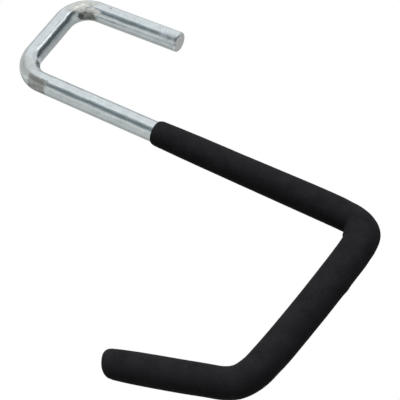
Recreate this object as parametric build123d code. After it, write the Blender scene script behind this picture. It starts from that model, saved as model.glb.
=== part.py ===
"""Rafter hook: a steel rod bent to hang over a rafter, its cradle dipped in vinyl.

Millimetres, +Z up, the whole bend in the XZ plane. The origin is the middle of
the saddle: the underside of the crossbar, halfway between shank and short arm,
where the hook sits on top of the rafter.
"""

import os
from math import atan2, cos, degrees, pi, radians, sin, tan

from build123d import *

# ---- rod ---------------------------------------------------------------
ROD_DIAMETER = 9.5
END_CHAMFER = 0.4             # edge break on both cut ends

# ---- top, which drops over the rafter ----------------------------------
SLOT_WIDTH = 38.5             # clear gap between short arm and shank
SHORT_ARM_LENGTH = 56.7       # from the front corner to the cut end
SHORT_ARM_SPREAD = 1.5        # degrees the short arm leans away from the shank
TOP_BEND_INSIDE = 7.75        # inside radius of both top bends

# ---- shank and cradle, between corner points on the rod's axis ---------
SHANK_LENGTH = 179.5          # rear corner to heel corner
HEEL_BEND_INSIDE = 5.5        # inside radius of the bend under the shank
ARM_LENGTH = 86.5             # heel corner to toe corner
ARM_RISE = 7.5                # degrees the arm climbs away from the shank
TOE_BEND_INSIDE = 14.75       # inside radius of the bend up to the lip
LIP_LENGTH = 53.3             # toe corner to the rod's covered end
LIP_FLARE = 18.0              # degrees the lip leans out from upright

# ---- vinyl coat over the lower part of the rod -------------------------
MOUTH_DROP = 74.6             # rear corner to the coat's mouth on the shank
MOUTH_ROUND = 3.0             # length over which the mouth rounds out of the rod
MOUTH_WALL = 1.15
FOOT_WALL = 1.65              # reached by a slow taper, just above the heel
FOOT_TAPER = 6.0              # length over which the coat then thickens for the cradle
CRADLE_WALL = 2.0             # round the heel, along the arm and round the toe
CRADLE_RUN_ON = 1.0           # how far that wall runs on past both bends
HEEL_FILL = 0.8               # how much wider the coat bends than the rod at the heel
LIP_TAPER = 5.0               # length over which the coat thins to the lip's wall
LIP_WALL = 1.5
TIP_WALL = 2.3                # over the rod's covered end
TIP_CROWN = 0.9               # how far the tip domes
TIP_ROUND = 3.6               # rounding between the lip's side and its tip
DRIP_PLACE = 29.8             # heel corner to the drip under the arm
DRIP_LENGTH = 7.0
DRIP_WIDTH = 4.4
DRIP_HEIGHT = 0.5             # how far the drip hangs below the coat

# ---- directions and corner points, worked out from the above -----------
ROD_RADIUS = ROD_DIAMETER / 2
HALF_SPAN = (SLOT_WIDTH + ROD_DIAMETER) / 2
SPREAD = radians(SHORT_ARM_SPREAD)
RISE = radians(ARM_RISE)
FLARE = radians(LIP_FLARE)

DOWN = Vector(0, 0, -1)
ALONG_ARM = Vector(-cos(RISE), 0, sin(RISE))
UNDER_ARM = Vector(-sin(RISE), 0, -cos(RISE))
UP_LIP = Vector(-sin(FLARE), 0, cos(FLARE))

FRONT_CORNER = Vector(HALF_SPAN, 0, ROD_RADIUS)
REAR_CORNER = Vector(-HALF_SPAN, 0, ROD_RADIUS)
FREE_END = FRONT_CORNER + Vector(sin(SPREAD), 0, -cos(SPREAD)) * SHORT_ARM_LENGTH
HEEL_CORNER = REAR_CORNER + DOWN * SHANK_LENGTH
TOE_CORNER = HEEL_CORNER + ALONG_ARM * ARM_LENGTH
COVERED_END = TOE_CORNER + UP_LIP * LIP_LENGTH

HEEL_TURN = pi / 2 + RISE
TOE_TURN = pi / 2 - RISE - FLARE
TOP_RADIUS = TOP_BEND_INSIDE + ROD_RADIUS
HEEL_RADIUS = HEEL_BEND_INSIDE + ROD_RADIUS
TOE_RADIUS = TOE_BEND_INSIDE + ROD_RADIUS

CRADLE_RADIUS = ROD_RADIUS + CRADLE_WALL
COAT_HEEL_RADIUS = HEEL_RADIUS + HEEL_FILL
SHANK_FOOT = HEEL_CORNER - DOWN * (COAT_HEEL_RADIUS * tan(HEEL_TURN / 2) + CRADLE_RUN_ON)
LIP_ROOT = TOE_CORNER + UP_LIP * (TOE_RADIUS * tan(TOE_TURN / 2) + CRADLE_RUN_ON)


def bent_rod():
    """The round bar, swept round its four bends, both cut edges broken."""
    corners = [FREE_END, FRONT_CORNER, REAR_CORNER, HEEL_CORNER, TOE_CORNER, COVERED_END]
    radii = [TOP_RADIUS, TOP_RADIUS, HEEL_RADIUS, TOE_RADIUS]
    route = FilletPolyline(*corners, radius=radii)
    cut_face = Plane(origin=route @ 0, z_dir=route % 0) * Circle(ROD_RADIUS)
    rod = sweep(cut_face, path=route)
    rims = [rod.faces().sort_by_distance(end)[0].edges() for end in (FREE_END, COVERED_END)]
    return chamfer(rims, END_CHAMFER)


def turned(half_profile, start, direction):
    """A closed radius-by-length profile, turned about one leg's own axis."""
    face = Plane.XZ * half_profile
    return Plane(origin=start, z_dir=direction) * revolve(face, axis=Axis.Z)


def shank_sleeve():
    """Coat on the shank: a rounded mouth, a slow taper, and its foot at the heel."""
    mouth_centre = REAR_CORNER + DOWN * MOUTH_DROP
    length = (SHANK_FOOT - mouth_centre).length
    swell = EllipticalCenterArc(
        (ROD_RADIUS, MOUTH_ROUND), MOUTH_WALL, MOUTH_ROUND, start_angle=270, arc_size=90
    )
    mouth = (ROD_RADIUS + MOUTH_WALL, MOUTH_ROUND)
    taper_end = (ROD_RADIUS + FOOT_WALL, length - FOOT_TAPER)
    foot = (CRADLE_RADIUS, length)
    sides = Polyline(mouth, taper_end, foot, (0, length), (0, 0), (ROD_RADIUS, 0))
    return turned(make_face(swell + sides), mouth_centre, DOWN)


def cradle_sleeve():
    """Coat round heel, arm and toe; bent wider than the rod, it fills the heel."""
    corners = [SHANK_FOOT, HEEL_CORNER, TOE_CORNER, LIP_ROOT]
    route = FilletPolyline(*corners, radius=[COAT_HEEL_RADIUS, TOE_RADIUS])
    return sweep(Plane(origin=SHANK_FOOT, z_dir=DOWN) * Circle(CRADLE_RADIUS), path=route)


def lip_sleeve():
    """Coat on the lip, closed over the rod's end by a low rounded dome."""
    length = (COVERED_END - LIP_ROOT).length + TIP_WALL
    side = ROD_RADIUS + LIP_WALL
    rim = (side, length - TIP_CROWN)
    dome_radius = (side**2 + TIP_CROWN**2) / (2 * TIP_CROWN)
    dome = RadiusArc(rim, (0, length), -dome_radius)
    sides = Polyline((0, length), (0, 0), (CRADLE_RADIUS, 0), (side, LIP_TAPER), rim)
    outline = make_face(dome + sides)
    corner = outline.vertices().sort_by_distance(rim)[0]
    return turned(fillet(corner, TIP_ROUND), LIP_ROOT, UP_LIP)


def drip():
    """The bead left hanging under the arm where the last of the dip ran off."""
    lowest = HEEL_CORNER + ALONG_ARM * DRIP_PLACE + UNDER_ARM * (CRADLE_RADIUS + DRIP_HEIGHT)
    bow = (DRIP_LENGTH**2 / 4 + DRIP_HEIGHT**2) / (2 * DRIP_HEIGHT)
    pivot = Axis(lowest - UNDER_ARM * bow, (0, 1, 0))
    half_turn = degrees(atan2(DRIP_LENGTH, bow))
    centre = lowest - UNDER_ARM * DRIP_WIDTH / 2
    bead = Plane(origin=centre, z_dir=ALONG_ARM) * Circle(DRIP_WIDTH / 2)
    return revolve(bead.rotate(pivot, -half_turn), axis=pivot, revolution_arc=2 * half_turn)


def dipped_coat(rod):
    """The vinyl skin: its outer form with the rod itself taken out of it."""
    return shank_sleeve() + cradle_sleeve() + lip_sleeve() + drip() - rod


steel_rod = bent_rod()
vinyl_coat = dipped_coat(steel_rod)

os.makedirs("parts", exist_ok=True)
export_step(steel_rod, "parts/steel_rod.step")
export_step(vinyl_coat, "parts/vinyl_coat.step")
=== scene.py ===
"""Rafter hook, dressed: a zinc plated rod, and the black vinyl its cradle was dipped in.

Metres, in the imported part's frame: +Z up, the whole bend in the XZ plane, and the
origin in the middle of the saddle, where the hook sits on top of the rafter.
"""

from math import atan2, cos, pi, radians, sin, sqrt, tan

import bmesh
import bpy
from mathutils import Matrix, Vector, noise


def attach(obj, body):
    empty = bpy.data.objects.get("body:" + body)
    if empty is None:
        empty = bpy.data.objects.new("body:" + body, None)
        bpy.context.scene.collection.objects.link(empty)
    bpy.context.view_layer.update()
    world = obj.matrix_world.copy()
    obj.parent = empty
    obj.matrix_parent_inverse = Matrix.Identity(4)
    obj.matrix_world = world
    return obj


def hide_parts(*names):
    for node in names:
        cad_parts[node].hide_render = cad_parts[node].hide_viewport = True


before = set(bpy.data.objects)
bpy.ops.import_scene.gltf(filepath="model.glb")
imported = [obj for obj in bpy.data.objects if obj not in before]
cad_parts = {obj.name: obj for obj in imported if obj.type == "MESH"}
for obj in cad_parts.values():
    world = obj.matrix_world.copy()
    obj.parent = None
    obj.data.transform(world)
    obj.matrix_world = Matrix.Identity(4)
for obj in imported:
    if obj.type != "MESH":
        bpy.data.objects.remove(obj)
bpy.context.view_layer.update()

MM = 0.001

# ---- rod -----------------------------------------------------------------
ROD_RADIUS = 4.75 * MM
END_CHAMFER = 0.4 * MM
HALF_SPAN = 24.0 * MM             # origin to the short arm's and to the shank's axis
SHORT_ARM_LENGTH = 56.7 * MM
SHORT_ARM_SPREAD = radians(1.5)
TOP_BEND = 12.5 * MM              # bend radii are those of the rod's axis
SHANK_LENGTH = 179.5 * MM
HEEL_BEND = 10.25 * MM
ARM_LENGTH = 86.5 * MM
ARM_RISE = radians(7.5)
TOE_BEND = 19.5 * MM
LIP_LENGTH = 53.3 * MM
LIP_FLARE = radians(18.0)

# ---- vinyl coat ----------------------------------------------------------
MOUTH_DROP = 74.6 * MM            # rear corner to the coat's mouth
MOUTH_ROUND = 2.5 * MM
COAT_WALLS = (
    # run or bend of the coat, share through it, and its wall in mm on the cradle's side
    # and on the far side: the dip pooled inside both bends and ran thin outside them
    (0, 0.00, 0.95, 0.95),        # mouth
    (0, 0.20, 1.26, 1.35),
    (0, 0.45, 1.45, 1.49),        # middle of the shank
    (0, 0.80, 1.67, 1.80),
    (0, 0.95, 1.76, 1.65),
    (1, 0.00, 1.86, 1.25),        # heel
    (1, 0.20, 1.95, 1.36),
    (1, 0.35, 2.45, 1.80),
    (1, 0.52, 3.25, 2.35),
    (1, 0.65, 3.35, 2.42),
    (1, 0.85, 3.08, 1.80),
    (1, 1.00, 2.92, 1.76),
    (2, 0.08, 2.57, 2.12),        # arm
    (2, 0.25, 2.23, 2.26),
    (2, 0.50, 1.97, 2.36),
    (2, 0.75, 1.96, 2.21),
    (2, 0.92, 2.20, 1.93),
    (3, 0.05, 2.42, 1.42),        # toe
    (3, 0.35, 2.02, 1.70),
    (3, 0.60, 1.33, 2.06),
    (3, 0.80, 1.50, 1.70),
    (3, 1.00, 1.72, 1.33),
    (4, 0.30, 1.61, 1.56),        # lip
    (4, 0.70, 1.49, 1.56),
    (4, 0.93, 1.17, 1.18),
    (4, 1.00, 1.04, 0.95),
)
TIP_WALL = 2.6 * MM
TIP_CROWN = 1.2 * MM
TIP_ROUND = 4.1 * MM
TIP_LEAN = 0.3 * MM               # how far the tip leans towards the cradle
TIP_TILT = 0.15                   # slope of the dome, higher on the cradle's side
WIDEST = 6.71 * MM                # half the coat's width across the plane of the bends
UNEVEN = 0.03 * MM                # how far the dip ran thick and thin
UNEVEN_WALL = 1.0 * MM            # only a wall this thick is fully uneven: the mouth is even
LONG_WAVES = 9.0 * MM             # sizes of the thick and thin places
SHORT_WAVES = 4.0 * MM
DRIP_PLACE = 18.2 * MM            # end of the heel to the drip under the arm
DRIP_LENGTH = 6.0 * MM
DRIP_WIDTH = 4.4 * MM
DRIP_HEIGHT = 0.35 * MM

# ---- finishes ------------------------------------------------------------
# clouds and grain are given as size and strength, a pair of shades or roughnesses as
# lowest and highest, and a bump as distance and strength
ZINC = (0.65, 0.71, 0.738)
ZINC_CLOUDS = (4.0 * MM, 0.36)
ZINC_GRAIN = (0.9 * MM, 0.32)
ZINC_ROUGHNESS = (0.135, 0.215)
ZINC_BUMP = (0.17 * MM, 1.0)
DRAW_MARKS = 0.6 * MM
DRAW_MARK_SQUEEZE = 0.06          # how far the pattern is squeezed to make marks this long
DRAW_MARK_SHADES = (0.92, 1.08)
LUMPS = 2.8 * MM
LUMP_SQUEEZE = 0.4
FINE_RELIEF = 0.05                # height of draw marks and grain as a share of the lumps'
MOTTLES = 1.3 * MM                # the broken look of every spot
MOTTLE_STRENGTHS = (0.27, 1.67)
DULLED_ROUGHNESS = 0.40           # what a spot at full strength adds
WEAR_AND_PAINT_FROM = 0.55                  # strength of a spot past which it loses its metallic look: worn plating, and the painted shade and highlight
WEAR_AND_PAINT_LOSS = 1.3
RAGGED = 2.5 * MM                 # size of the lumps in a spot's outline
RAGGED_REACH = 3.0                # how far they push a soft edge in and out
ZINC_SPOTS = (
    # starting place, mm along the bar from it, degrees round the bar from the outer side
    # of the top bends, half width and half length in mm, colour, strength, softness of the
    # edge, and whether the spot ends flat across the bar

    # plating stretched pale and yellowish round both top bends
    ("front_bend_middle", -1.0, -92, 3.0, 8.0, (0.60, 0.61, 0.555), 0.75, 0.45, False),
    ("rear_bend_middle", 2.0, -80, 3.6, 6.0, (0.55, 0.57, 0.54), 0.6, 0.6, False),
    # painted highlight: a rough pale crescent over the squeezed side of the front bend
    ("front_bend_middle", -0.5, -115, 1.7, 4.2, (0.90, 0.89, 0.84), 0.95, 0.35, False),
    ("front_bend_start", 1.4, -131, 1.6, 4.6, (0.90, 0.90, 0.86), 1.0, 0.3, False),
    # brownish clamp mark where the shank begins, with a darker band along it
    ("shank_start", 1.0, -33, 3.8, 4.5, (0.43, 0.43, 0.415), 0.9, 0.16, True),
    ("shank_start", 0.5, -62, 1.1, 3.9, (0.20, 0.205, 0.20), 0.7, 0.4, True),
    # painted shade: dark olive-grey darkening the tight inner side of both top bends
    ("front_bend_start", 5.0, -173, 2.9, 6.4, (0.25, 0.26, 0.235), 0.95, 0.25, False),
    ("front_bend_start", 9.7, -165, 2.2, 1.8, (0.08, 0.085, 0.075), 0.9, 0.35, False),
    ("rear_bend_middle", 0.4, -158, 1.8, 3.6, (0.17, 0.18, 0.175), 0.92, 0.35, False),
    # duller plating near the cut end, with two small nicks in it
    ("cut_end", 4.5, -118, 2.6, 4.5, ZINC, 0.6, 0.45, False),
    ("cut_end", 3.6, -124, 0.8, 1.2, (0.30, 0.31, 0.31), 0.8, 0.45, False),
    ("cut_end", 0.5, -124, 0.9, 0.7, (0.25, 0.25, 0.24), 0.8, 0.45, False),
    # one brown fleck on the short arm
    ("crossbar_start", -26.0, -76, 0.45, 0.55, (0.34, 0.28, 0.20), 0.8, 0.45, False),
)
SAWN_ZINC = (0.74, 0.755, 0.775)
SAWN_CLOUDS = (3.0 * MM, 0.12)
SAWN_GRAIN = (0.4 * MM, 0.12)
SAWN_ROUGHNESS = 0.42
SAWN_BUMP = (0.02 * MM, 0.4)
SAW_SWEEP = (-18.0 * MM, 4.0 * MM, 0.0)   # moves the middle of the blade's arcs off the rod
SAW_MARKS = 3.0 * MM
SAW_WANDER = 1.5
SAW_MARK_SHADES = (0.95, 1.03)
VINYL = (0.0176, 0.0174, 0.0196)
VINYL_CLOUDS = (6.0 * MM, 0.90)
VINYL_GRAIN = (0.9 * MM, 0.60)
VINYL_ROUGHNESS = (0.58, 0.68)
VINYL_GLOSS = 0.02
VINYL_BUMP = (0.03 * MM, 0.5)

# ---- how finely the skins are divided ------------------------------------
AROUND = 64
RUN_STEP = 1.5 * MM
TURN_STEP = radians(3.5)
ROUND_STEPS = 10
POLE_RADIUS = 0.02 * MM           # the last ring at the tip, before it is drawn to a point
BORE_CLEAR = 1.0 * MM             # least gap between the bore's rings and its two ends

# ---- directions and corner points ----------------------------------------
ACROSS = Vector((0, 1, 0))
DOWN = Vector((0, 0, -1))
UP_SHORT_ARM = Vector((-sin(SHORT_ARM_SPREAD), 0, cos(SHORT_ARM_SPREAD)))
ALONG_ARM = Vector((-cos(ARM_RISE), 0, sin(ARM_RISE)))
UP_LIP = Vector((-sin(LIP_FLARE), 0, cos(LIP_FLARE)))

FRONT_CORNER = Vector((HALF_SPAN, 0, ROD_RADIUS))
REAR_CORNER = Vector((-HALF_SPAN, 0, ROD_RADIUS))
FREE_END = FRONT_CORNER - UP_SHORT_ARM * SHORT_ARM_LENGTH
HEEL_CORNER = REAR_CORNER + DOWN * SHANK_LENGTH
TOE_CORNER = HEEL_CORNER + ALONG_ARM * ARM_LENGTH
COVERED_END = TOE_CORNER + UP_LIP * LIP_LENGTH
MOUTH = REAR_CORNER + DOWN * MOUTH_DROP

# ---- studio --------------------------------------------------------------
EYE = Vector((-0.24741, -0.37384, -0.25881))
EYE_RIGHT = Vector((0.51167, 0.07512, -0.85589))
EYE_AHEAD = Vector((0.44697, 0.82748, 0.33983))
LENS = 97.624
FLOOR_DROP = 1.3
FLOOR_HALF = 40.0
FLOOR_GREY = 0.60                 # the floor's own colour
FLOOR_GLOW = 0.48                 # added where the camera or the metal sees the floor
ROOM_LIGHT = 0.08                 # brightness of the room, as matt surfaces see it
LAMPS = (
    # name, the side it shines from as right, ahead and up of the camera, level, and spread
    # in degrees
    ("key_lamp", (-0.19, -0.37, 0.91), 1.0, 50),
    ("back_lamp", (0.35, 0.90, -0.25), 0.40, 50),
)
CARD_DISTANCE = 1.0
CARD_RISE_STEP = 4                # degrees between a card's edges, upwards and round
CARD_ROUND_STEP = 5
CARDS = (
    # name, lowest and highest elevation, first and last azimuth in degrees, colour:
    # azimuth 0 is straight behind the camera, and 90 is to its right
    ("ceiling_card", 62, 88, -180, 180, (0.94, 0.94, 0.94)),
    ("dim_flag", 28, 42, -60, 10, (0.42, 0.46, 0.48)),
    ("dark_flag", 6, 28, -60, 10, (0.20, 0.23, 0.24)),
    ("dark_right_flag", 3, 31, 10, 105, (0.095, 0.11, 0.118)),
    ("bright_strip", 32, 45, 8, 43, (1.70, 1.73, 1.73)),
    ("soft_flag", -4, 6, -60, 10, (0.42, 0.44, 0.44)),
    ("soft_right_flag", -8, 4, 10, 105, (0.30, 0.31, 0.30)),
    ("side_card", -22, -4, -60, 10, (0.78, 0.78, 0.76)),
    ("right_side_card", -22, -8, 10, 105, (0.47, 0.47, 0.46)),
    ("low_card", -70, -22, -60, 105, (0.60, 0.60, 0.58)),
    ("left_low_card", -70, -5, 240, 300, (0.64, 0.64, 0.62)),
    ("back_low_card", -70, 0, 105, 240, (0.48, 0.48, 0.47)),
    ("back_high_card", 0, 52, 105, 300, (0.66, 0.66, 0.65)),
)


# ==========================================================================
# Routes
# ==========================================================================

def turned(angle):
    """A turn in the plane of the bends."""
    return Matrix.Rotation(angle, 3, "Y")


def route_through(corners, radii):
    """A bar's axis as runs and bends in order: start distance, length, place, heading, turn.

    A run has no turn. A bend is an arc that touches both of the runs it joins.
    """
    pieces = []
    distance = 0.0
    place = corners[0]
    for corner, after, radius in zip(corners[1:], corners[2:], radii):
        heading = (corner - place).normalized()
        onward = (after - corner).normalized()
        turn = atan2(heading.cross(onward).dot(ACROSS), heading.dot(onward))
        setback = radius * tan(abs(turn) / 2)
        run = (corner - place).length - setback
        pieces.append((distance, run, place, heading, 0.0))
        distance += run
        pieces.append((distance, radius * abs(turn), place + heading * run, heading, turn))
        distance += radius * abs(turn)
        place = corner + onward * setback
    last = corners[-1] - place
    pieces.append((distance, last.length, place, last.normalized(), 0.0))
    return pieces


def stop_on(route, distance):
    """The place and heading at a distance along a route; its last run carries on past its end."""
    reached = [piece for piece in route if piece[0] <= distance] or route[:1]
    start, length, place, heading, turn = reached[-1]
    on = distance - start
    if not turn:
        return place + heading * on, heading
    side = turned(pi / 2 if turn > 0 else -pi / 2) @ heading
    centre = place + side * length / abs(turn)
    swing = turned(turn * on / length)
    return centre + swing @ (place - centre), swing @ heading


def distances_along(route):
    """Where rings go: evenly on runs, and by angle on bends."""
    distances = []
    for start, length, _, _, turn in route:
        steps = max(round(abs(turn) / TURN_STEP) if turn else round(length / RUN_STEP), 1)
        distances += [start + length * step / steps for step in range(steps)]
    return distances


def flowing(distance, knots):
    """A value that flows smoothly through (distance, value) knots and is level past both ends."""
    if distance <= knots[0][0]:
        return knots[0][1]
    if distance >= knots[-1][0]:
        return knots[-1][1]
    after = next(index for index, knot in enumerate(knots) if knot[0] > distance)
    before = knots[max(after - 2, 0)]
    (start, first), (end, last) = knots[after - 1], knots[after]
    beyond = knots[min(after + 1, len(knots) - 1)]
    slope_in = (last - before[1]) / (end - before[0])
    slope_out = (beyond[1] - first) / (beyond[0] - start)
    span = end - start
    u = (distance - start) / span
    return (
        first * (1 + 2 * u) * (1 - u) ** 2
        + last * (3 - 2 * u) * u**2
        + slope_in * span * u * (1 - u) ** 2
        - slope_out * span * (1 - u) * u**2
    )


# ==========================================================================
# Skins: drawn straight along Z, ring by ring, and then bent
# ==========================================================================

def ring_fit(section):
    """From a unit ring at the origin to a section: distance along, shift, two half widths."""
    distance, aside, in_plane, across = section
    return Matrix.Translation((aside, 0, distance)) @ Matrix.Diagonal((in_plane, across, 1, 1))


def straight_skin(bm, sections):
    """An open round skin in an empty mesh, through the sections; gives each ring's vertices."""
    ring = bmesh.ops.create_circle(bm, segments=AROUND, radius=1.0)["verts"]
    edges = list(bm.edges)
    bmesh.ops.transform(bm, matrix=ring_fit(sections[0]), verts=ring)
    rings = [ring]
    for before, section in zip(sections, sections[1:]):
        made = bmesh.ops.extrude_edge_only(bm, edges=edges)["geom"]
        ring = [item for item in made if isinstance(item, bmesh.types.BMVert)]
        newest = set(ring)
        edges = [
            item for item in made
            if isinstance(item, bmesh.types.BMEdge) and newest.issuperset(item.verts)
        ]
        fit = ring_fit(section) @ ring_fit(before).inverted()
        bmesh.ops.transform(bm, matrix=fit, verts=ring)
        rings.append(ring)
    return rings


def new_skin():
    """An empty mesh that can note each point's place on the straight bar."""
    bm = bmesh.new()
    bm.verts.layers.float_vector.new("unbent")
    return bm


def note_unbent(bm):
    """Notes each point's place on the straight bar, which the finishes follow."""
    layer = bm.verts.layers.float_vector["unbent"]
    for vert in bm.verts:
        vert[layer] = vert.co


def bend(bm, rings, sections, route):
    """Swings every ring to its place on the route; a section's shift is towards the cradle."""
    for ring, (distance, _, _, _) in zip(rings, sections):
        place, heading = stop_on(route, distance)
        axes = Matrix((ACROSS.cross(heading), ACROSS, heading)).transposed().to_4x4()
        swing = Matrix.Translation(place) @ axes @ Matrix.Translation((0, 0, -distance))
        bmesh.ops.transform(bm, matrix=swing, verts=ring)


def close_flat(bm, ring):
    """A flat face over a ring, with the ring kept as a crisp edge."""
    rim = [edge for edge in bm.edges if edge.is_boundary and edge.verts[0] in ring]
    for edge in rim:
        edge.smooth = False
    return bmesh.ops.edgeloop_fill(bm, edges=rim)["faces"]


def put_in_order(bm):
    """Orders edges and faces by the points they join, so that every run gives the same mesh."""
    bm.verts.index_update()
    many = len(bm.verts)

    def rank(item):
        """The item's three lowest point numbers, read as the digits of one number."""
        number = 0
        for index in sorted(vert.index for vert in item.verts)[:3]:
            number = number * many + index
        return number

    bm.edges.sort(key=rank)
    bm.faces.sort(key=rank)


def finish_piece(bm, name, materials):
    """Turns a finished skin into a piece of the hook."""
    put_in_order(bm)
    bmesh.ops.recalc_face_normals(bm, faces=bm.faces)
    for face in bm.faces:
        face.smooth = True
    mesh = bpy.data.meshes.new(name)
    bm.to_mesh(mesh)
    bm.free()
    for material in materials:
        mesh.materials.append(material)
    piece = bpy.data.objects.new(name, mesh)
    bpy.context.scene.collection.objects.link(piece)
    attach(piece, "root")
    return piece


# ==========================================================================
# Rod
# ==========================================================================

def rod_route():
    """The rod's axis from the cut end of the short arm to the covered end of the lip."""
    corners = [FREE_END, FRONT_CORNER, REAR_CORNER, HEEL_CORNER, TOE_CORNER, COVERED_END]
    return route_through(corners, [TOP_BEND, TOP_BEND, HEEL_BEND, TOE_BEND])


def zinc_rod(route, sides, cut_face):
    """The bent bar, with both cut edges broken and both cut faces left flat."""
    length = route[-1][0] + route[-1][1]
    inset = ROD_RADIUS - END_CHAMFER
    middle = [
        distance for distance in distances_along(route)
        if END_CHAMFER * 2 < distance < length - END_CHAMFER * 2
    ]
    full = [END_CHAMFER, *middle, length - END_CHAMFER]
    sections = [(0.0, 0.0, inset, inset)]
    sections += [(distance, 0.0, ROD_RADIUS, ROD_RADIUS) for distance in full]
    sections += [(length, 0.0, inset, inset)]
    bm = new_skin()
    rings = straight_skin(bm, sections)
    caps = close_flat(bm, rings[0]) + close_flat(bm, rings[-1])
    for face in caps:
        face.material_index = 1
    note_unbent(bm)
    bend(bm, rings, sections, route)
    rod = finish_piece(bm, "zinc_rod", [sides, cut_face])
    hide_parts("steel_rod")
    return rod


# ==========================================================================
# Vinyl coat
# ==========================================================================

def coat_route():
    """The rod's axis from the coat's mouth to the covered end."""
    return route_through([MOUTH, HEEL_CORNER, TOE_CORNER, COVERED_END], [HEEL_BEND, TOE_BEND])


def coat_walls(route):
    """Both walls of the coat as (distance, wall) knots: the cradle's side and the far side."""
    places = [route[piece][0] + route[piece][1] * share for piece, share, _, _ in COAT_WALLS]
    near = [(place, knot[2] * MM) for place, knot in zip(places, COAT_WALLS)]
    far = [(place, knot[3] * MM) for place, knot in zip(places, COAT_WALLS)]
    return near, far


def coat_section(walls, distance):
    """The coat's section, set off the rod's axis where one wall is thicker than the other."""
    near, far = (flowing(distance, wall) for wall in walls)
    half = ROD_RADIUS + (near + far) / 2
    return distance, (near - far) / 2, half, min(half, WIDEST)


def mouth_sections(walls):
    """The mouth, swelling out of the rod in a quarter of an ellipse."""
    sections = []
    for step in range(ROUND_STEPS):
        swing = pi / 2 * step / ROUND_STEPS
        distance = MOUTH_ROUND * (1 - cos(swing))
        _, aside, half, _ = coat_section(walls, distance)
        radius = ROD_RADIUS + (half - ROD_RADIUS) * sin(swing)
        sections.append((distance, aside * sin(swing), radius, radius))
    return sections


def tip_sections(walls, length):
    """The tip: the side rounded over onto a low dome, leaning towards the cradle."""
    _, aside, side, _ = coat_section(walls, length)
    dome = (side**2 + TIP_CROWN**2) / (2 * TIP_CROWN)
    dome_centre = length - dome
    round_centre = dome_centre + sqrt((dome - TIP_ROUND) ** 2 - (side - TIP_ROUND) ** 2)
    meet = atan2(round_centre - dome_centre, side - TIP_ROUND)
    outline = []
    for step in range(ROUND_STEPS * 2 + 1):
        swing = meet * step / (ROUND_STEPS * 2)
        reach = round_centre + TIP_ROUND * sin(swing)
        outline.append((reach, side - TIP_ROUND + TIP_ROUND * cos(swing)))
    for step in range(1, ROUND_STEPS + 1):
        swing = (pi / 2 - meet) * (1 - step / ROUND_STEPS)
        outline.append((dome_centre + dome * cos(swing), max(dome * sin(swing), POLE_RADIUS)))
    start = outline[0][0]
    sections = []
    for reach, radius in outline:
        lean = TIP_LEAN * ((reach - start) / (length - start)) ** 2
        sections.append((reach, aside + lean, radius, radius))
    return sections


def skin_sections(route):
    """Every section of the coat's outer skin, mouth to tip."""
    walls = coat_walls(route)
    tip = tip_sections(walls, route[-1][0] + route[-1][1] + TIP_WALL)
    first = MOUTH_ROUND * 1.2
    last = tip[0][0] - RUN_STEP / 2
    middle = [
        coat_section(walls, distance) for distance in distances_along(route)
        if first < distance < last
    ]
    return mouth_sections(walls) + [coat_section(walls, MOUTH_ROUND)] + middle + tip


def run_uneven(rings):
    """Lets the dip run thick and thin, but keeps the coat's mouth on the rod."""
    for ring in rings:
        for vert in ring:
            outward = Vector((vert.co.x, vert.co.y, 0))
            away = min(max((outward.length - ROD_RADIUS) / UNEVEN_WALL, 0.0), 1.0)
            outward.normalize()
            wave = noise.noise(vert.co / LONG_WAVES) + noise.noise(vert.co / SHORT_WAVES) / 2
            vert.co += outward * UNEVEN * wave * away


def tilt_tip(rings, start, end):
    """Tilts the dome, more and more from where the side starts to round over."""
    for ring in rings:
        for vert in ring:
            share = min(max((vert.co.z - start) / (end - start), 0.0), 1.0)
            vert.co.z += TIP_TILT * vert.co.x * share * (2 - share)


def raise_drip(rings, place):
    """Pulls out the bead left under the arm where the last of the dip ran off."""
    for ring in rings:
        for vert in ring:
            along = (vert.co.z - place) / (DRIP_LENGTH / 2)
            aside = vert.co.y / (DRIP_WIDTH / 2)
            reach = along**2 + aside**2
            if reach < 1 and vert.co.x < 0:
                vert.co.x -= DRIP_HEIGHT * (1 - reach) ** 2 * (1 + reach)


def dipped_coat(vinyl):
    """The coat as one closed skin: out of the bore's blind end, round the mouth, to the tip."""
    route = coat_route()
    blind = route[-1][0] + route[-1][1]
    depths = [blind] + [
        distance for distance in reversed(distances_along(route))
        if BORE_CLEAR < distance < blind - BORE_CLEAR
    ]
    bore = [(distance, 0.0, ROD_RADIUS, ROD_RADIUS) for distance in depths]
    skin = skin_sections(route)
    bm = new_skin()
    rings = straight_skin(bm, bore + skin)
    close_flat(bm, rings[0])
    pole = Vector((skin[-1][1], 0, skin[-1][0]))
    bmesh.ops.pointmerge(bm, verts=rings[-1], merge_co=pole)
    rings[-1] = [vert for vert in rings[-1] if vert.is_valid]
    run_uneven(rings[len(bore):])
    near_tip = rings[-ROUND_STEPS * 4:]
    tilt_tip(near_tip, skin[-1][0] - TIP_ROUND - TIP_CROWN, skin[-1][0])
    raise_drip(rings[len(bore):], route[2][0] + DRIP_PLACE)
    note_unbent(bm)
    bend(bm, rings, bore + skin, route)
    coat = finish_piece(bm, "dipped_vinyl_coat", [vinyl])
    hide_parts("vinyl_coat")
    return coat


# ==========================================================================
# Finishes
# ==========================================================================

def add(tree, kind, **settings):
    """A new node with its settings."""
    made = tree.nodes.new(kind)
    for name, value in settings.items():
        setattr(made, name, value)
    return made


def maths(tree, operation, first, second):
    """A Math node on two links or numbers; gives its output."""
    made = add(tree, "ShaderNodeMath", operation=operation)
    for socket, value in zip(made.inputs, (first, second)):
        if isinstance(value, (int, float)):
            socket.default_value = value
        else:
            tree.links.new(value, socket)
    return made.outputs["Value"]


def between(tree, value, lowest_and_highest):
    """Spreads a value that runs from 0 to 1 between these two."""
    lowest, highest = lowest_and_highest
    return maths(tree, "ADD", maths(tree, "MULTIPLY", value, highest - lowest), lowest)


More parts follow.
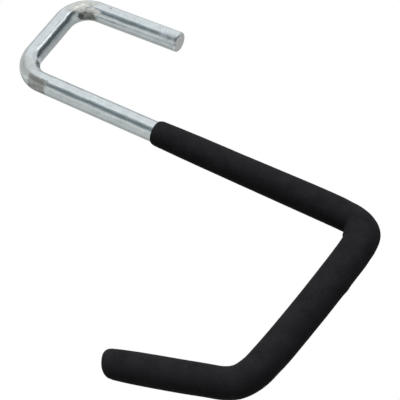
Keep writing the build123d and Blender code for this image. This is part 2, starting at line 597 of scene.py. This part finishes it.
def blend_colours(tree, factor, first, second, way="MIX"):
    """A colour mix of two links or colours; gives its output."""
    made = add(tree, "ShaderNodeMix", data_type="RGBA", blend_type=way)
    for name, value in (("Factor_Float", factor), ("A_Color", first), ("B_Color", second)):
        socket = next(item for item in made.inputs if item.identifier == name)
        if isinstance(value, bpy.types.NodeSocket):
            tree.links.new(value, socket)
        elif isinstance(value, tuple):
            socket.default_value = (*value, 1)
        else:
            socket.default_value = value
    return next(item for item in made.outputs if item.identifier == "Result_Color")


def shade_colour(tree, colour, shade):
    """A colour made lighter and darker by a shade about 1."""
    return blend_colours(tree, 1.0, colour, shade, "MULTIPLY")


def noise_of(tree, vector, size, detail=2.0):
    """Soft random values about 0.5, with lumps of this size."""
    made = add(tree, "ShaderNodeTexNoise")
    made.inputs["Scale"].default_value = 1 / size
    made.inputs["Detail"].default_value = detail
    tree.links.new(vector, made.inputs["Vector"])
    return made.outputs["Fac"]


def unbent_place(tree):
    """Each point's place on the straight bar: in plane, across, and along."""
    return add(tree, "ShaderNodeAttribute", attribute_name="unbent").outputs["Vector"]


def mapped(tree, place, setting, value):
    """The place moved or scaled, by a Location or a Scale."""
    mapping = add(tree, "ShaderNodeMapping")
    mapping.inputs[setting].default_value = value
    tree.links.new(place, mapping.inputs["Vector"])
    return mapping.outputs["Vector"]


def clouded_grain_group():
    """Clouds and fine grain: a shade about 1, and a height about 0.5."""
    group = bpy.data.node_groups.new("clouded_grain", "ShaderNodeTree")
    sockets = group.interface
    sockets.new_socket("Vector", in_out="INPUT", socket_type="NodeSocketVector")
    for name in ("Cloud Size", "Grain Size", "Cloud Strength", "Grain Strength"):
        sockets.new_socket(name, in_out="INPUT", socket_type="NodeSocketFloat")
    sockets.new_socket("Shade", in_out="OUTPUT", socket_type="NodeSocketFloat")
    sockets.new_socket("Height", in_out="OUTPUT", socket_type="NodeSocketFloat")
    given = add(group, "NodeGroupInput").outputs
    result = add(group, "NodeGroupOutput").inputs
    waves = []
    for size, strength, detail in (
        ("Cloud Size", "Cloud Strength", 3.0),
        ("Grain Size", "Grain Strength", 2.0),
    ):
        texture = add(group, "ShaderNodeTexNoise")
        texture.inputs["Detail"].default_value = detail
        group.links.new(given["Vector"], texture.inputs["Vector"])
        group.links.new(maths(group, "DIVIDE", 1.0, given[size]), texture.inputs["Scale"])
        centred = maths(group, "SUBTRACT", texture.outputs["Fac"], 0.5)
        waves.append(maths(group, "MULTIPLY", centred, given[strength]))
        grain = texture.outputs["Fac"]
    both = maths(group, "ADD", waves[0], waves[1])
    group.links.new(maths(group, "ADD", both, 1.0), result["Shade"])
    group.links.new(grain, result["Height"])
    return group


def clouded_grain(tree, group, vector, clouds, grain):
    """Places the clouds and grain; each is given as its size and its strength."""
    made = add(tree, "ShaderNodeGroup", node_tree=group)
    tree.links.new(vector, made.inputs["Vector"])
    made.inputs["Cloud Size"].default_value, made.inputs["Cloud Strength"].default_value = clouds
    made.inputs["Grain Size"].default_value, made.inputs["Grain Strength"].default_value = grain
    return made.outputs["Shade"], made.outputs["Height"]


def length_of(tree, vector, keep=(1, 1, 1)):
    """How long a vector is, with only the kept axes counted."""
    kept = add(tree, "ShaderNodeVectorMath", operation="MULTIPLY")
    kept.inputs[1].default_value = keep
    tree.links.new(vector, kept.inputs[0])
    length = add(tree, "ShaderNodeVectorMath", operation="LENGTH")
    tree.links.new(kept.outputs["Vector"], length.inputs[0])
    return length.outputs["Value"]


def spot(tree, vector, centre, size, edge, flat_ended):
    """A mask that is 1 inside a ragged spot; size is its half widths, edge how soft it ends."""
    mapping = add(tree, "ShaderNodeMapping", vector_type="TEXTURE")
    mapping.inputs["Location"].default_value = centre
    mapping.inputs["Scale"].default_value = size
    tree.links.new(vector, mapping.inputs["Vector"])
    scaled = mapping.outputs["Vector"]
    if flat_ended:
        across, along = (length_of(tree, scaled, keep) for keep in ((1, 1, 0), (0, 0, 1)))
        reach = maths(tree, "MAXIMUM", across, along)
    else:
        reach = length_of(tree, scaled)
    lumps = maths(tree, "SUBTRACT", noise_of(tree, vector, RAGGED, detail=4.0), 0.5)
    reach = maths(tree, "ADD", reach, maths(tree, "MULTIPLY", lumps, RAGGED_REACH * edge))
    fall = add(tree, "ShaderNodeMapRange", interpolation_type="SMOOTHSTEP")
    fall.inputs["From Min"].default_value = 1 - edge
    fall.inputs["From Max"].default_value = 1 + edge
    fall.inputs["To Min"].default_value = 1.0
    fall.inputs["To Max"].default_value = 0.0
    tree.links.new(reach, fall.inputs["Value"])
    return fall.outputs["Result"]


def new_material(name):
    """A material with its Principled shader ready to be fed."""
    material = bpy.data.materials.new(name)
    material.use_nodes = True
    return material, material.node_tree, material.node_tree.nodes["Principled BSDF"]


def surface_bump(tree, shader, height, distance_and_strength):
    """Feeds a height to the shader's normal."""
    bump = add(tree, "ShaderNodeBump")
    bump.inputs["Distance"].default_value, bump.inputs["Strength"].default_value = (
        distance_and_strength
    )
    tree.links.new(height, bump.inputs["Height"])
    tree.links.new(bump.outputs["Normal"], shader.inputs["Normal"])


def round_rod(distance, facing):
    """A place on the straight bar's skin; facing 0 is the outer side of the top bends."""
    return ROD_RADIUS * cos(radians(facing)), ROD_RADIUS * sin(radians(facing)), distance


def spot_starts(route):
    """The distances along the rod that the zinc's spots are measured from."""
    front_bend, crossbar, rear_bend, shank = route[1:5]
    return {
        "cut_end": 0.0,
        "front_bend_start": front_bend[0],
        "front_bend_middle": front_bend[0] + front_bend[1] / 2,
        "crossbar_start": crossbar[0],
        "rear_bend_middle": rear_bend[0] + rear_bend[1] / 2,
        "shank_start": shank[0],
    }


def spotted(tree, place, route, mottled):
    """The zinc's colour with its spots laid over it, painted shade and a painted highlight among
    them, and how far they dull it.
    """
    starts = spot_starts(route)
    colour = ZINC
    dull = 0.0
    for start, along, facing, wide, long, tint, strength, edge, flat_ended in ZINC_SPOTS:
        centre = round_rod(starts[start] + along * MM, facing)
        half_widths = (wide * MM, wide * MM, long * MM)
        mask = spot(tree, place, centre, half_widths, edge, flat_ended)
        mask = maths(tree, "MULTIPLY", maths(tree, "MULTIPLY", mask, strength), mottled)
        colour = blend_colours(tree, mask, colour, tint)
        dull = maths(tree, "MAXIMUM", dull, mask)
    return colour, dull


def bright_zinc(group, route):
    """Bright zinc over drawn rod: cloudy, grained along its length, dulled at the bends, with
    painted shade inside both top bends and a painted highlight over the front bend.
    """
    material, tree, shader = new_material("bright_zinc")
    place = unbent_place(tree)
    shade, grain = clouded_grain(tree, group, place, ZINC_CLOUDS, ZINC_GRAIN)
    drawn = noise_of(tree, mapped(tree, place, "Scale", (1, 1, DRAW_MARK_SQUEEZE)), DRAW_MARKS)
    shade = maths(tree, "MULTIPLY", shade, between(tree, drawn, DRAW_MARK_SHADES))
    lumpy_place = mapped(tree, place, "Scale", (1, 1, LUMP_SQUEEZE))
    mottled = between(tree, noise_of(tree, lumpy_place, MOTTLES, detail=3.0), MOTTLE_STRENGTHS)
    colour, dull = spotted(tree, place, route, mottled)
    tree.links.new(shade_colour(tree, colour, shade), shader.inputs["Base Color"])
    wear_and_painted_light = maths(tree, "MAXIMUM", maths(tree, "SUBTRACT", dull, WEAR_AND_PAINT_FROM), 0.0)
    metallic = maths(tree, "SUBTRACT", 1.0, maths(tree, "MULTIPLY", wear_and_painted_light, WEAR_AND_PAINT_LOSS))
    tree.links.new(metallic, shader.inputs["Metallic"])
    dulled = maths(tree, "MULTIPLY", dull, DULLED_ROUGHNESS)
    roughness = maths(tree, "ADD", between(tree, drawn, ZINC_ROUGHNESS), dulled)
    tree.links.new(roughness, shader.inputs["Roughness"])
    fine = maths(tree, "MULTIPLY", maths(tree, "ADD", drawn, grain), FINE_RELIEF)
    height = maths(tree, "ADD", noise_of(tree, lumpy_place, LUMPS, detail=1.5), fine)
    surface_bump(tree, shader, height, ZINC_BUMP)
    return material


def sawn_zinc(group):
    """The plated cut end of the rod, with faint saw marks."""
    material, tree, shader = new_material("sawn_zinc")
    place = unbent_place(tree)
    shade, grain = clouded_grain(tree, group, place, SAWN_CLOUDS, SAWN_GRAIN)
    sweep = add(tree, "ShaderNodeTexWave", wave_type="RINGS", rings_direction="Z")
    sweep.inputs["Scale"].default_value = 1 / SAW_MARKS
    sweep.inputs["Distortion"].default_value = SAW_WANDER
    tree.links.new(mapped(tree, place, "Location", SAW_SWEEP), sweep.inputs["Vector"])
    marks = sweep.outputs["Fac"]
    shade = maths(tree, "MULTIPLY", shade, between(tree, marks, SAW_MARK_SHADES))
    tree.links.new(shade_colour(tree, SAWN_ZINC, shade), shader.inputs["Base Color"])
    shader.inputs["Metallic"].default_value = 1.0
    shader.inputs["Roughness"].default_value = SAWN_ROUGHNESS
    surface_bump(tree, shader, maths(tree, "ADD", marks, grain), SAWN_BUMP)
    return material


def black_vinyl(group):
    """Dipped vinyl: nearly black and satin, with a fine pebbled skin."""
    material, tree, shader = new_material("black_vinyl_dip")
    shade, grain = clouded_grain(tree, group, unbent_place(tree), VINYL_CLOUDS, VINYL_GRAIN)
    tree.links.new(shade_colour(tree, VINYL, shade), shader.inputs["Base Color"])
    tree.links.new(between(tree, grain, VINYL_ROUGHNESS), shader.inputs["Roughness"])
    shader.inputs["Specular IOR Level"].default_value = VINYL_GLOSS
    surface_bump(tree, shader, grain, VINYL_BUMP)
    return material


# ==========================================================================
# Studio
# ==========================================================================

def studio_axes():
    """Right, ahead and up as the camera sees them, as one turn."""
    up = EYE_RIGHT.cross(EYE_AHEAD)
    return Matrix((EYE_RIGHT, EYE_AHEAD, up)).transposed()


def turned_flat(degrees_round):
    """A turn about the camera's own upright."""
    return Matrix.Rotation(radians(degrees_round), 3, "Z")


def aimed(direction):
    """A turn that points a lamp or camera from this direction at the hook."""
    return direction.to_track_quat("Z", "Y").to_matrix().to_4x4()


def place_camera():
    """The camera below the cradle, looking up along the hook."""
    camera = bpy.data.objects.new("camera", bpy.data.cameras.new("camera"))
    camera.data.lens = LENS
    camera.data.sensor_width = 36.0
    camera.data.clip_start = 0.01
    camera.data.clip_end = 200.0
    axes = Matrix((EYE_RIGHT, EYE_RIGHT.cross(EYE_AHEAD), -EYE_AHEAD)).transposed()
    camera.matrix_world = Matrix.Translation(EYE) @ axes.to_4x4()
    bpy.context.scene.collection.objects.link(camera)
    bpy.context.scene.camera = camera


def hang_lamp(name, toward, level, spread):
    """A broad even lamp; toward is right, ahead and up of the camera, level 1 is full light."""
    lamp = bpy.data.lights.new(name, "SUN")
    lamp.energy = pi * level
    lamp.angle = radians(spread)
    made = bpy.data.objects.new(name, lamp)
    made.matrix_world = aimed(studio_axes() @ Vector(toward))
    made.visible_glossy = False
    bpy.context.scene.collection.objects.link(made)


def white_room():
    """A room that is white to look at and in reflections, and lights the hook softly."""
    world = bpy.data.worlds.new("white_room")
    world.use_nodes = True
    bpy.context.scene.world = world
    tree = world.node_tree
    tree.nodes.clear()
    path = add(tree, "ShaderNodeLightPath").outputs
    seen = maths(tree, "MAXIMUM", path["Is Camera Ray"], path["Is Glossy Ray"])
    seen = maths(tree, "MAXIMUM", seen, path["Is Transmission Ray"])
    dim = add(tree, "ShaderNodeBackground")
    dim.inputs["Strength"].default_value = ROOM_LIGHT
    dim.inputs["Color"].default_value = (1, 1, 1, 1)
    white = add(tree, "ShaderNodeBackground")
    white.inputs["Color"].default_value = (1, 1, 1, 1)
    mix = add(tree, "ShaderNodeMixShader")
    tree.links.new(seen, mix.inputs["Fac"])
    tree.links.new(dim.outputs["Background"], mix.inputs[1])
    tree.links.new(white.outputs["Background"], mix.inputs[2])
    tree.links.new(mix.outputs["Shader"], add(tree, "ShaderNodeOutputWorld").inputs["Surface"])


def lay_floor():
    """A plain pale floor, far enough below for the hook to be seen from underneath."""
    bm = bmesh.new()
    bmesh.ops.create_grid(bm, x_segments=1, y_segments=1, size=FLOOR_HALF)
    bmesh.ops.translate(bm, vec=(0, 0, -FLOOR_DROP), verts=bm.verts)
    mesh = bpy.data.meshes.new("floor")
    bm.to_mesh(mesh)
    bm.free()
    material, tree, shader = new_material("pale_floor")
    shader.inputs["Base Color"].default_value = (FLOOR_GREY, FLOOR_GREY, FLOOR_GREY, 1)
    shader.inputs["Roughness"].default_value = 0.9
    shader.inputs["Specular IOR Level"].default_value = 0.1
    path = add(tree, "ShaderNodeLightPath").outputs
    seen = maths(tree, "MAXIMUM", path["Is Camera Ray"], path["Is Glossy Ray"])
    shader.inputs["Emission Color"].default_value = (1, 1, 1, 1)
    glowing = maths(tree, "MULTIPLY", seen, FLOOR_GLOW)
    tree.links.new(glowing, shader.inputs["Emission Strength"])
    mesh.materials.append(material)
    floor = bpy.data.objects.new("floor", mesh)
    bpy.context.scene.collection.objects.link(floor)


def glow(name, colour):
    """A plain even glow, for a card that the metal reflects."""
    material = bpy.data.materials.new(name)
    material.use_nodes = True
    tree = material.node_tree
    tree.nodes.clear()
    light = add(tree, "ShaderNodeEmission")
    light.inputs["Color"].default_value = (*colour, 1)
    out = add(tree, "ShaderNodeOutputMaterial")
    tree.links.new(light.outputs["Emission"], out.inputs["Surface"])
    return material


def card_mesh(name, low, high, first, last):
    """A curved card, spun about the camera's upright from one edge that rises in an arc."""
    bm = bmesh.new()
    steps = max(round((high - low) / CARD_RISE_STEP), 1)
    verts = []
    for step in range(steps + 1):
        rise = radians(low + (high - low) * step / steps)
        out = turned_flat(first) @ Vector((0, -cos(rise), sin(rise)))
        verts.append(bm.verts.new(out * CARD_DISTANCE))
    edges = [bm.edges.new(pair) for pair in zip(verts, verts[1:])]
    bmesh.ops.spin(
        bm, geom=verts + edges, axis=(0, 0, 1), cent=(0, 0, 0),
        angle=radians(last - first), steps=round((last - first) / CARD_ROUND_STEP),
    )
    bmesh.ops.transform(bm, matrix=studio_axes().to_4x4(), verts=bm.verts)
    mesh = bpy.data.meshes.new(name)
    bm.to_mesh(mesh)
    bm.free()
    return mesh


def hang_card(name, low, high, first, last, colour):
    """A glowing card round the hook that only reflections see."""
    mesh = card_mesh(name, low, high, first, last)
    mesh.materials.append(glow(name, colour))
    card = bpy.data.objects.new(name, mesh)
    card.visible_camera = False
    card.visible_diffuse = False
    card.visible_shadow = False
    card.visible_transmission = False
    bpy.context.scene.collection.objects.link(card)


# ==========================================================================
# Making the scene
# ==========================================================================

place_camera()
white_room()
lay_floor()
for lamp_facts in LAMPS:
    hang_lamp(*lamp_facts)
for card_facts in CARDS:
    hang_card(*card_facts)

grain_group = clouded_grain_group()
bar_route = rod_route()
zinc_rod(bar_route, bright_zinc(grain_group, bar_route), sawn_zinc(grain_group))
dipped_coat(black_vinyl(grain_group))

bpy.context.scene.view_settings.view_transform = "Standard"
